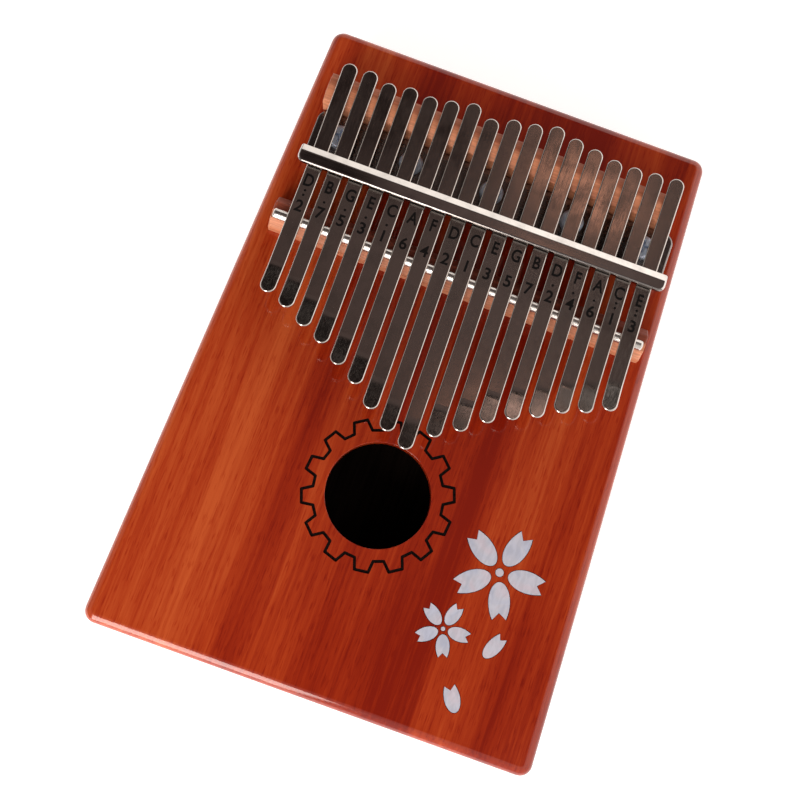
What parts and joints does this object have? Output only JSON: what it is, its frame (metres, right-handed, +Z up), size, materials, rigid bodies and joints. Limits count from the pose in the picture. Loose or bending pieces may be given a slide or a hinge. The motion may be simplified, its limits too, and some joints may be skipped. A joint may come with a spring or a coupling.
{
  "type": "kalimba",
  "caption": "Thumb piano: tapered hollow wooden box with a round sound hole, spring-steel tines clamped over a steel rod, and blossom inlays.",
  "frame": {"origin": "centre of the box's underside", "axes": "+Z up out of the soundboard, +Y towards the head where the tine tails are, +X to the player's right"},
  "size_m": [0.1296, 0.185, 0.0472],
  "materials": {
    "soundboard_wood": "red-brown stained mahogany, satin lacquer",
    "box_wood": "red-brown stained mahogany, satin lacquer",
    "block_wood": "bare hardwood",
    "bridge_wood": "light tan hardwood, sanded",
    "rod_steel": "polished",
    "clamp_plate": "bright plated",
    "screw_steel": "bright plated",
    "tine_steel": "polished spring steel",
    "pearl": "mother-of-pearl sheen"
  },
  "bodies": {
    "sound_box": {"soundboard": "soundboard_wood", "back_board": "box_wood", "head_rim": "box_wood", "left_rim": "box_wood", "tail_rim": "box_wood", "right_rim": "box_wood", "screw_block": "block_wood", "front_bridge": "bridge_wood", "bridge_rod": "rod_steel", "back_bridge": "bridge_wood", "tine_clamp": "clamp_plate", "clamp_screws": "screw_steel", "large_blossom": "pearl", "large_blossom_dot": "pearl", "small_blossom": "pearl", "small_blossom_dot": "pearl", "fallen_petal_upper": "pearl", "fallen_petal_lower": "pearl"},
    "tine_01": {"tine_01": "tine_steel"},
    "tine_02": {"tine_02": "tine_steel"},
    "tine_03": {"tine_03": "tine_steel"},
    "tine_04": {"tine_04": "tine_steel"},
    "tine_05": {"tine_05": "tine_steel"},
    "tine_06": {"tine_06": "tine_steel"},
    "tine_07": {"tine_07": "tine_steel"},
    "tine_08": {"tine_08": "tine_steel"},
    "tine_09": {"tine_09": "tine_steel"},
    "tine_10": {"tine_10": "tine_steel"},
    "tine_11": {"tine_11": "tine_steel"},
    "tine_12": {"tine_12": "tine_steel"},
    "tine_13": {"tine_13": "tine_steel"},
    "tine_14": {"tine_14": "tine_steel"},
    "tine_15": {"tine_15": "tine_steel"},
    "tine_16": {"tine_16": "tine_steel"},
    "tine_17": {"tine_17": "tine_steel"}
  },
  "joints": [
    {"name": "tine_01_pluck", "type": "hinge", "parent": "sound_box", "child": "tine_01", "pos_m": [-0.0485, 0.0304, 0.041], "axis": [1, 0, 0], "range_deg": [0, 1], "stiffness_Nm_per_rad": 9.43},
    {"name": "tine_02_pluck", "type": "hinge", "parent": "sound_box", "child": "tine_02", "pos_m": [-0.0423, 0.0304, 0.041], "axis": [1, 0, 0], "range_deg": [0, 1], "stiffness_Nm_per_rad": 8.6},
    {"name": "tine_03_pluck", "type": "hinge", "parent": "sound_box", "child": "tine_03", "pos_m": [-0.0361, 0.0304, 0.041], "axis": [1, 0, 0], "range_deg": [0, 1], "stiffness_Nm_per_rad": 7.6},
    {"name": "tine_04_pluck", "type": "hinge", "parent": "sound_box", "child": "tine_04", "pos_m": [-0.0299, 0.0304, 0.041], "axis": [1, 0, 0], "range_deg": [0, 1], "stiffness_Nm_per_rad": 6.93},
    {"name": "tine_05_pluck", "type": "hinge", "parent": "sound_box", "child": "tine_05", "pos_m": [-0.0237, 0.0304, 0.041], "axis": [1, 0, 0], "range_deg": [0, 1], "stiffness_Nm_per_rad": 6.14},
    {"name": "tine_06_pluck", "type": "hinge", "parent": "sound_box", "child": "tine_06", "pos_m": [-0.0175, 0.0304, 0.041], "axis": [1, 0, 0], "range_deg": [0, 1], "stiffness_Nm_per_rad": 5.61},
    {"name": "tine_07_pluck", "type": "hinge", "parent": "sound_box", "child": "tine_07", "pos_m": [-0.0113, 0.0304, 0.041], "axis": [1, 0, 0], "range_deg": [0, 1], "stiffness_Nm_per_rad": 4.97},
    {"name": "tine_08_pluck", "type": "hinge", "parent": "sound_box", "child": "tine_08", "pos_m": [-0.0051, 0.0304, 0.041], "axis": [1, 0, 0], "range_deg": [0, 1], "stiffness_Nm_per_rad": 4.54},
    {"name": "tine_09_pluck", "type": "hinge", "parent": "sound_box", "child": "tine_09", "pos_m": [0.0011, 0.0304, 0.041], "axis": [1, 0, 0], "range_deg": [0, 1], "stiffness_Nm_per_rad": 4.28},
    {"name": "tine_10_pluck", "type": "hinge", "parent": "sound_box", "child": "tine_10", "pos_m": [0.0073, 0.0304, 0.041], "axis": [1, 0, 0], "range_deg": [0, 1], "stiffness_Nm_per_rad": 4.82},
    {"name": "tine_11_pluck", "type": "hinge", "parent": "sound_box", "child": "tine_11", "pos_m": [0.0135, 0.0304, 0.041], "axis": [1, 0, 0], "range_deg": [0, 1], "stiffness_Nm_per_rad": 5.28},
    {"name": "tine_12_pluck", "type": "hinge", "parent": "sound_box", "child": "tine_12", "pos_m": [0.0197, 0.0304, 0.041], "axis": [1, 0, 0], "range_deg": [0, 1], "stiffness_Nm_per_rad": 5.96},
    {"name": "tine_13_pluck", "type": "hinge", "parent": "sound_box", "child": "tine_13", "pos_m": [0.0259, 0.0304, 0.041], "axis": [1, 0, 0], "range_deg": [0, 1], "stiffness_Nm_per_rad": 6.52},
    {"name": "tine_14_pluck", "type": "hinge", "parent": "sound_box", "child": "tine_14", "pos_m": [0.0321, 0.0304, 0.041], "axis": [1, 0, 0], "range_deg": [0, 1], "stiffness_Nm_per_rad": 7.15},
    {"name": "tine_15_pluck", "type": "hinge", "parent": "sound_box", "child": "tine_15", "pos_m": [0.0383, 0.0304, 0.041], "axis": [1, 0, 0], "range_deg": [0, 1], "stiffness_Nm_per_rad": 8.08},
    {"name": "tine_16_pluck", "type": "hinge", "parent": "sound_box", "child": "tine_16", "pos_m": [0.0445, 0.0304, 0.041], "axis": [1, 0, 0], "range_deg": [0, 1], "stiffness_Nm_per_rad": 8.87},
    {"name": "tine_17_pluck", "type": "hinge", "parent": "sound_box", "child": "tine_17", "pos_m": [0.0507, 0.0304, 0.041], "axis": [1, 0, 0], "range_deg": [0, 1], "stiffness_Nm_per_rad": 10.04}
  ]
}
